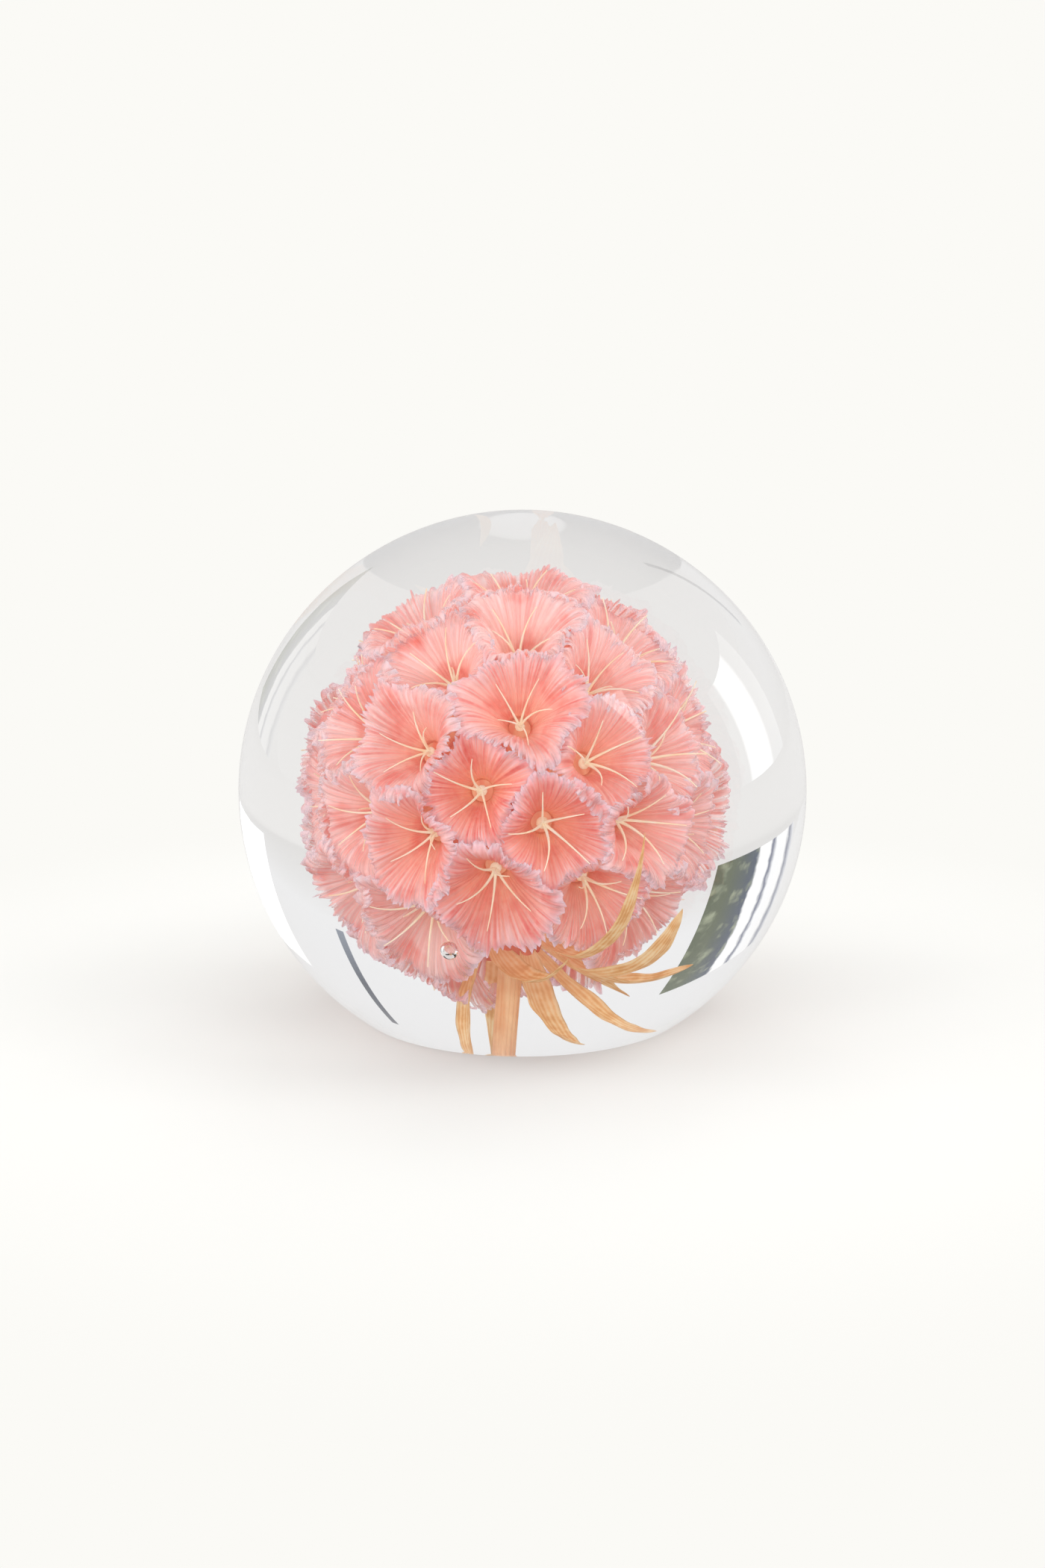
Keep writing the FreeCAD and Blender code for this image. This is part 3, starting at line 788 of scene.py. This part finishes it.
def straw_bristle():
    r = Recipe("straw bristle")
    place = r.place()
    streak = r.noise(place, 420.0, 3.0)
    colour = r.ramp(streak, [
        (0.30, paint(255, 226, 190)), (0.5, paint(255, 240, 214)), (0.75, paint(255, 248, 236)),
    ])
    front = r.add("ShaderNodeBsdfPrincipled", {"Base Color": colour, "Roughness": 0.45}).outputs[0]
    return r.finish(r.tissue(colour, front, through=0.3, glow=0.9, glow_share=0.3))


stars = star_tree().bake(floret_points("star points", 0.5 * MM), "star_bristles", {
    "Length": 6.9 * MM, "Lean": math.radians(37.0), "Arms": 5,
    "Root": 0.22 * MM, "Tip": 0.05 * MM, "Hub": 0.6 * MM, "Seed": 4, "Material": straw_bristle(),
})
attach(stars, "root")
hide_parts("bristle_stars")
print("stars", len(stars.data.polygons), "faces")

# %% [markdown]
# Under each cup stands its seed: a fluted cone with eight furrows. It's a cone from Geometry Nodes whose wall
# is pushed in along the furrows. Little of it shows, but the gaps between cups need something real in them.

# %% The fluted seeds


def seed_tree():
    t = Tree("fluted seed", ("Foot", "Top", "Height", "Furrows", "Depth"))
    cone = t.add("GeometryNodeMeshCone", {
        "Vertices": 48, "Side Segments": 6, "Radius Top": t.size("Top"), "Radius Bottom": t.size("Foot"),
        "Depth": t.size("Height"),
    }).outputs[0]
    parts = t.add("ShaderNodeSeparateXYZ", {0: t.add("GeometryNodeInputPosition").outputs[0]})
    turn = t.math("ARCTAN2", parts.outputs[1], parts.outputs[0])
    wave = t.math("COSINE", t.times(turn, t.size("Furrows")))
    keep = t.minus(1.0, t.times(t.plus(wave, 1.0), t.times(t.size("Depth"), 0.5)))
    place = t.combine(t.times(parts.outputs[0], keep), t.times(parts.outputs[1], keep), parts.outputs[2])
    fluted = t.add("GeometryNodeSetPosition", {"Geometry": cone, "Position": place}).outputs[0]
    stand = t.add(
        "FunctionNodeAlignRotationToVector", {"Vector": t.read("axis", "FLOAT_VECTOR")}, axis="Z"
    )
    seeds = t.add("GeometryNodeInstanceOnPoints", {
        "Points": t.size("Geometry"), "Instance": fluted, "Rotation": stand.outputs[0],
    }).outputs[0]
    return t.finish(seeds, smooth=False)


def dry_plant(name, dark, light, scale, stretch=0.15):
    """A dry fibrous finish: two tones in streaks along Z, and a fine relief."""
    r = Recipe(name)
    place = r.place()
    drawn = r.add("ShaderNodeMapping", {"Vector": place, "Scale": (1.0, 1.0, stretch)}).outputs[0]
    streak = r.noise(drawn, scale, 5.0)
    mottle = r.noise(place, scale * 0.35, 3.0)
    tone = r.plus(r.times(streak, 0.6), r.times(mottle, 0.4))
    colour = r.ramp(tone, [(0.36, dark), (0.62, light)])
    front = r.add("ShaderNodeBsdfPrincipled", {
        "Base Color": colour, "Roughness": 0.75, "Specular IOR Level": 0.3,
        "Normal": bend(r, streak, 0.6, 0.08 * MM),
    }).outputs[0]
    return r.finish(r.tissue(colour, front, through=0.22, glow=0.8, glow_share=0.25))


dyed_seed = dry_plant("dyed seed", paint(236, 132, 100), paint(254, 196, 154), 900.0)
SEED_ROOT_DEPTH = 0.7 * MM
seed_height = florets[0]["throat"] - (core_radius - SEED_ROOT_DEPTH)
seeds = seed_tree().bake(floret_points("seed points", -seed_height), "fluted_seeds", {
    "Foot": 0.75 * MM, "Top": 1.5 * MM, "Height": seed_height, "Furrows": 8.0, "Depth": 0.22,
    "Material": dyed_seed,
})
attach(seeds, "root")
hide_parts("seeds")
print("seeds", len(seeds.data.polygons), "faces")

# %% The receptacle keeps its CAD shape
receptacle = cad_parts["receptacle"]
receptacle.data.materials.clear()
receptacle.data.materials.append(
    dry_plant("dyed receptacle", paint(206, 84, 62), paint(242, 146, 116), 600.0)
)

# %% [markdown]
# A bract is a dry, lance-shaped leaf. Its middle line is read from the CAD strip: the strip's points are
# spread evenly about it, so a smooth curve fitted through them runs down the middle. The leaf laid along that
# line is folded along its midrib, its edges wave, and it twists a little towards the tip.

# %% Bracts
TIP_REACH = 1.05  # the thin tip runs on a little past the CAD strip
CURVE_POWERS = 5


def middle_line(node, count):
    """Evenly spaced points down the middle of a CAD strip, from its root to its tip."""
    points = points_of(node)
    near = points[np.argmin(np.linalg.norm(points[:, :2] - head_centre[:2], axis=1))]
    tip = points[np.argmax(np.linalg.norm(points - near, axis=1))]
    chord = tip - near
    share = (points - near) @ chord / (chord @ chord)
    fit = np.linalg.lstsq(np.vander(share, CURVE_POWERS), points, rcond=None)[0]
    fine = np.vander(np.linspace(0.0, TIP_REACH, 300), CURVE_POWERS) @ fit
    run = np.concatenate([[0], np.cumsum(np.linalg.norm(np.diff(fine, axis=0), axis=1))])
    even = np.linspace(0, run[-1], count)
    return np.stack([np.interp(even, run, fine[:, k]) for k in range(3)], axis=1), run[-1]


BRACT_ROWS = 48
BRACT_HALF = 6
BRACT_WIDTH = 3.5 * MM
BRACT_THICKNESS = 0.22 * MM
BRACT_FOLD = 0.35
BRACT_TWISTS = (0.9, -0.7, 0.5, 0.6, -0.4, 0.8, -0.5, 0.4, 0.3)
BRACT_RIPPLE = 0.22
VEIN_HEIGHT = 0.018 * MM
MIDRIB_HEIGHT = 0.10 * MM


def leaf_piece(name, line, half_width, fold, twist, thickness, seed):
    """A closed, thin leaf along a line: folded at the midrib, waved at its edges and pointed at the tip."""
    tangents = np.gradient(line, axis=0)
    tangents /= np.linalg.norm(tangents, axis=1)[:, None]
    heading = line[-1] - line[0]
    side = np.cross([0.0, 0.0, 1.0], heading)
    side /= np.linalg.norm(side)
    across = np.linspace(-1, 1, 2 * BRACT_HALF + 1)
    points, alongs = [], []
    rows = len(line)
    for row in range(rows):
        t = row / (rows - 1)
        lance = (0.5 + 0.5 * math.sin(math.pi / 2 * min(t / 0.3, 1.0))) * (1 - t ** 3.2) ** 0.8
        width = half_width * max(lance, 0.02)
        up = np.cross(tangents[row], side)
        turn = twist * t * t
        wide = side * math.cos(turn) + up * math.sin(turn)
        high = up * math.cos(turn) - side * math.sin(turn)
        top, under = [], []
        for q in across:
            ripple = noise.noise(Vector((t * 7.0, q * 1.3, seed))) * BRACT_RIPPLE * width * abs(q)
            rise = -fold * width * abs(q) ** 1.4 + ripple
            vein = VEIN_HEIGHT * math.cos(q * 4 * math.pi)
            rib = MIDRIB_HEIGHT * math.exp(-(q / 0.16) ** 2) * (1 - t)
            reach = width * q * (1 + 0.08 * noise.noise(Vector((t * 11.0, seed, 2.0))))
            centre = line[row] + wide * reach - high * rise
            wall = thickness * (1 - 0.7 * abs(q)) * max(1 - t, 0.15)
            top.append(centre + high * (wall / 2 + vein))
            under.append(centre - high * (wall / 2 + rib - vein))
        points += top + under[::-1]
        alongs += [t] * (2 * len(across))
    leaf = mesh_piece(name, points, tube_faces(rows, 2 * len(across)))
    store(leaf, "along", alongs)
    store(leaf, "across", np.tile(np.concatenate([across, across[::-1]]), rows))
    return leaf


def turn_faces_out(piece):
    """Makes a closed piece's faces point outwards."""
    work = bmesh.new()
    work.from_mesh(piece.data)
    bmesh.ops.recalc_face_normals(work, faces=work.faces)
    work.to_mesh(piece.data)
    work.free()


def golden_leaf():
    r = Recipe("golden dry leaf")
    along, across = r.attribute("along"), r.attribute("across")
    place = r.place()
    veins = r.math("COSINE", r.times(across, 21.0))
    mottle = r.noise(place, 700.0, 4.0)
    tone = r.plus(r.times(veins, 0.10), mottle)
    straw = r.ramp(tone, [
        (0.34, paint(232, 176, 108)), (0.52, paint(247, 206, 146)), (0.70, paint(254, 230, 188)),
    ])
    stained = r.mix_colour(
        r.minus(0.55, r.times(along, 1.1), clamp=True), straw, paint(254, 204, 166)
    )
    front = r.add("ShaderNodeBsdfPrincipled", {
        "Base Color": stained, "Roughness": 0.55, "Normal": bend(r, tone, 0.5, 0.06 * MM),
    }).outputs[0]
    return r.finish(r.tissue(stained, front, through=0.4, glow=0.8, glow_share=0.28))


leaf_finish = golden_leaf()
for number, node in enumerate(bract_nodes):
    line, length = middle_line(node, BRACT_ROWS)
    leaf = leaf_piece(
        node.replace("bract", "curled_bract"), line, half_width=BRACT_WIDTH / 2,
        fold=BRACT_FOLD, twist=BRACT_TWISTS[number % len(BRACT_TWISTS)], thickness=BRACT_THICKNESS,
        seed=3.7 * number + 1.3,
    )
    turn_faces_out(leaf)
    leaf.data.materials.append(leaf_finish)
    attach(leaf, "root")
    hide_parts(node)
    print(node, "is", round(length / MM, 1), "mm long")

# %% [markdown]
# The stem is a grooved straw cut square at its foot. Its two ends are read from the CAD cylinder. Fourteen
# ridges run along it, and slow noise makes them uneven, as in a stem that shrank while it dried.

# %% The stem
STEM_ROWS = 60
STEM_AROUND = 112
STEM_RIDGES = 14


def grooved_stem():
    points = points_of("stem")
    middle = points[:, 2].mean()
    top = points[points[:, 2] > middle].mean(axis=0)
    foot = points[points[:, 2] < middle].mean(axis=0)
    radius = np.ptp(points[:, 1]) / 2
    axis = (top - foot) / np.linalg.norm(top - foot)
    first, second = cross_frame(axis)
    made = []
    for row in range(STEM_ROWS):
        t = row / (STEM_ROWS - 1)
        for k in range(STEM_AROUND):
            turn = 2 * math.pi * k / STEM_AROUND
            ridge = abs(math.cos(STEM_RIDGES / 2 * turn)) ** 0.7
            slow = noise.noise(Vector((math.cos(turn) * 1.5, math.sin(turn) * 1.5, t * 5.0)))
            reach = radius * (0.86 + 0.09 * ridge + 0.05 * slow) * (1 - 0.06 * math.sin(math.pi * t))
            spoke = first * math.cos(turn) + second * math.sin(turn)
            made.append(foot + (top - foot) * t + reach * spoke)
    stem = mesh_piece("grooved_stem", made, tube_faces(STEM_ROWS, STEM_AROUND))
    stem.data.set_sharp_from_angle(angle=math.radians(60))
    turn_faces_out(stem)
    return stem


stem = grooved_stem()
stem.data.materials.append(
    dry_plant("dried stem", paint(234, 164, 108), paint(255, 218, 172), 1100.0, stretch=0.06)
)
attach(stem, "root")
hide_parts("stem")

# %% [markdown]
# The floor and the wall behind it are one swept sheet, as in a photographer's cove, so no line shows between
# them. It isn't part of the object.

# %% The stage
COVE_FRONT = -3.0
COVE_BACK = 2.5
COVE_HEIGHT = 3.0
COVE_BEND = 1.2
COVE_WIDTH = 4.0
PAGE = paint(251, 250, 246)
# Painted shade: the floor as the resin shows it is a darker grey, standing for the ball's shadow on the floor
# near it.
FLOOR_SHADE_IN_RESIN = paint(229, 227, 226)
WALL_THROUGH_RESIN = paint(246, 246, 248)
WALL_START = 0.5
SHADOW_FULL = 0.045
SHADOW_END = 0.13


def cove():
    line = [(COVE_FRONT, 0.0), (COVE_BACK - COVE_BEND, 0.0)]
    line += [
        (COVE_BACK - COVE_BEND + COVE_BEND * math.sin(a), COVE_BEND * (1 - math.cos(a)))
        for a in np.linspace(0, math.pi / 2, 16)[1:]
    ]
    line.append((COVE_BACK, COVE_HEIGHT))
    points = [(x, y, z - 0.02 * MM) for y, z in line for x in (-COVE_WIDTH, COVE_WIDTH)]
    faces = [(2 * k, 2 * k + 1, 2 * k + 3, 2 * k + 2) for k in range(len(line) - 1)]
    return mesh_piece("cove", points, faces)


def cove_paper():
    """Matte paper whose own light evens out the page. Close to the ball it keeps the ball's shadow. In the
    resin it shows painted shade.
    """
    r = Recipe("cove paper")
    matte = r.add("ShaderNodeBsdfDiffuse", {"Color": paint(194, 194, 192)}).outputs[0]
    light = r.add("ShaderNodeLightPath")
    place = r.add("ShaderNodeNewGeometry").outputs["Position"]
    away = r.add("ShaderNodeVectorMath", {0: place}, operation="LENGTH").outputs["Value"]
    evened = r.add("ShaderNodeMapRange", {
        "Value": away, "From Min": SHADOW_FULL, "From Max": SHADOW_END, "To Min": 0.25, "To Max": 1.0,
    }, interpolation_type="SMOOTHSTEP").outputs[0]
    page = r.glow(PAGE, 1.0)
    height = r.add("ShaderNodeSeparateXYZ", {"Vector": place}).outputs["Z"]
    raised = r.math("DIVIDE", height, WALL_START, clamp=True)
    # Painted shade: in the resin the floor shows a darker grey for the ball's shadow near it, rising to a
    # slightly greyer wall.
    room = r.mix_colour(raised, FLOOR_SHADE_IN_RESIN, WALL_THROUGH_RESIN)
    bent = r.glow(room, 1.0)
    seen_bent = r.math("MAXIMUM", light.outputs["Is Glossy Ray"], light.outputs["Is Transmission Ray"])
    straight = r.mix_shader(r.times(light.outputs["Is Camera Ray"], evened), matte, page)
    return r.finish(r.mix_shader(r.times(seen_bent, 0.8), straight, bent))


floor = cove()
floor.data.materials.append(cove_paper())

# %% [markdown]
# A clear ball shows the room round it, bent and mirrored, so the room is part of its look. Each card below is
# a patch of a large sphere about the ball, given by its compass turn from straight behind and its height.
# Cards are seen only by rays that the ball bends or mirrors. They light nothing matte and cast no shadow. The
# sky is brighter for matte things than inside the resin, where it would wash out.

# %% The room's cards
CARD_DISTANCE = 1.2
CARD_STEPS = 10


def card(name, turns, heights, material, lean=0.0):
    grid = np.linspace(0, 1, CARD_STEPS + 1)
    points, across, up = [], [], []
    for v in grid:
        rise = math.radians(heights[0] + (heights[1] - heights[0]) * v)
        for u in grid:
            turn = math.radians(turns[0] + (turns[1] - turns[0]) * u + lean * (v - 1))
            level = CARD_DISTANCE * math.cos(rise)
            way = (level * math.sin(turn), level * math.cos(turn), CARD_DISTANCE * math.sin(rise))
            points.append(head_centre + way)
            across.append(u)
            up.append(v)
    patch = mesh_piece(name, points, loop_faces(CARD_STEPS + 1, CARD_STEPS + 1))
    store(patch, "across", across)
    store(patch, "up", up)
    patch.data.materials.append(material)
    patch.visible_camera = patch.visible_diffuse = patch.visible_shadow = False


def window_light():
    """A bright pane with one upright bar and a dimmer lower edge. Mirrored, its middle part is brighter."""
    r = Recipe("window light")
    across, up = r.attribute("across"), r.attribute("up")
    bar = (0.72, 0.74, 0.78, 1)
    bars = r.ramp(across, [(0.0, grey(1.0)), (0.46, grey(1.0)), (0.48, bar), (0.52, bar), (0.54, grey(1.0))])
    sky = r.ramp(up, [(0.0, (0.82, 0.84, 0.86, 1)), (0.25, grey(1.0))])
    light = r.mix_colour(1.0, bars, sky, "MULTIPLY")
    mirrored = r.add("ShaderNodeLightPath").outputs["Is Glossy Ray"]
    side = r.ramp(across, [(0.30, grey(0.0)), (0.40, grey(1.0)), (0.78, grey(1.0)), (0.84, grey(0.0))])
    return r.finish(r.glow(light, r.plus(r.times(r.times(mirrored, side), 3.4), 1.4)))


def pane_light():
    """The lit corner of a far window: it covers the upper left half of its card."""
    r = Recipe("pane light")
    lit = r.math("GREATER_THAN", r.attribute("up"), r.attribute("across"))
    light = r.glow((1, 0.97, 0.98, 1), 4.5)
    nothing = r.add("ShaderNodeBsdfTransparent").outputs[0]
    return r.finish(r.mix_shader(lit, nothing, light))


def garden_view():
    """What is seen outside: dark blue and green leaves between pale strips."""
    r = Recipe("garden view")
    across, up = r.attribute("across"), r.attribute("up")
    spot = r.combine(across, up, 0.0)
    leaves = r.noise(spot, 9.0, 4.0)
    ragged = r.plus(across, r.times(r.minus(leaves, 0.5), 0.10))
    strips = r.ramp(ragged, [
        (0.00, (0.80, 0.82, 0.86, 1)), (0.10, (0.05, 0.07, 0.16, 1)), (0.17, grey(1.0)),
        (0.36, (0.95, 0.96, 0.98, 1)), (0.42, (0.03, 0.05, 0.14, 1)), (0.46, grey(1.0)),
        (0.60, grey(1.0)), (0.63, (0.02, 0.04, 0.09, 1)), (0.86, (0.09, 0.11, 0.06, 1)),
    ])
    sun_spots = r.times(r.minus(leaves, 0.52, clamp=True), 5.0, clamp=True)
    dappled = r.mix_colour(sun_spots, strips, (0.30, 0.33, 0.22, 1))
    view = r.mix_colour(r.math("GREATER_THAN", ragged, 0.62), strips, dappled)
    return r.finish(r.glow(view, 1.1))


def dark_frame():
    r = Recipe("dark frame")
    up = r.attribute("up")
    tone = r.ramp(up, [(0.0, (0.25, 0.28, 0.34, 1)), (0.5, (0.05, 0.06, 0.09, 1))])
    return r.finish(r.glow(tone, 1.0))


card("card window", (50, 85), (0, 28), window_light())
card("card garden", (-56, -24), (0, 24), garden_view(), lean=3.5)
card("card pane", (126, 139), (27, 45), pane_light())
card("card frame", (27.6, 29.4), (11, 36), dark_frame())

SKY_ON_MATTER = 1.35
SKY_IN_RESIN = 0.93
SKY_SEEN = 1.0
world = bpy.data.worlds.new("studio")
world.use_nodes = True
bpy.context.scene.world = world
sky = Nodes(world.node_tree)
path = sky.add("ShaderNodeLightPath").outputs
bent = sky.math("MAXIMUM", path["Is Glossy Ray"], path["Is Transmission Ray"])
strength = SKY_ON_MATTER
for seen, level in ((bent, SKY_IN_RESIN), (path["Is Camera Ray"], SKY_SEEN)):
    inputs = {"Value": seen, "To Min": strength, "To Max": level}
    strength = sky.add("ShaderNodeMapRange", inputs).outputs[0]
background = world.node_tree.nodes["Background"]
sky.put(background.inputs["Color"], paint(250, 250, 250))
sky.put(background.inputs["Strength"], strength)
LAMP_AIM = (0, 0, 0.03)


def softbox(name, place, width, height, power):
    """An area lamp aimed at the ball. The ball neither mirrors nor bends it."""
    data = bpy.data.lights.new(name, "AREA")
    data.shape = "RECTANGLE"
    data.size, data.size_y = width, height
    data.energy = power
    lamp = bpy.data.objects.new(name, data)
    lamp.location = place
    lamp.rotation_euler = (Vector(place) - Vector(LAMP_AIM)).to_track_quat("Z", "Y").to_euler()
    lamp.visible_glossy = lamp.visible_transmission = False
    bpy.context.scene.collection.objects.link(lamp)


softbox("window right", (0.9, -0.2, 0.8), 0.5, 0.9, 7.0)
softbox("window left", (-1.0, -0.3, 0.5), 0.5, 0.8, 7.0)
softbox("window behind", (0.2, 1.1, 0.8), 0.9, 0.6, 8.0)
softbox("room in front", (-0.2, -1.3, 0.3), 1.2, 0.5, 9.0)

scene = bpy.context.scene
scene.view_settings.view_transform = "Standard"
scene.cycles.max_bounces = 24
scene.cycles.diffuse_bounces = 6
scene.cycles.transmission_bounces = 16
scene.cycles.transparent_max_bounces = 32

# %% The resin rides with the body
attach(resin_skin, "root")
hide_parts("resin_body")
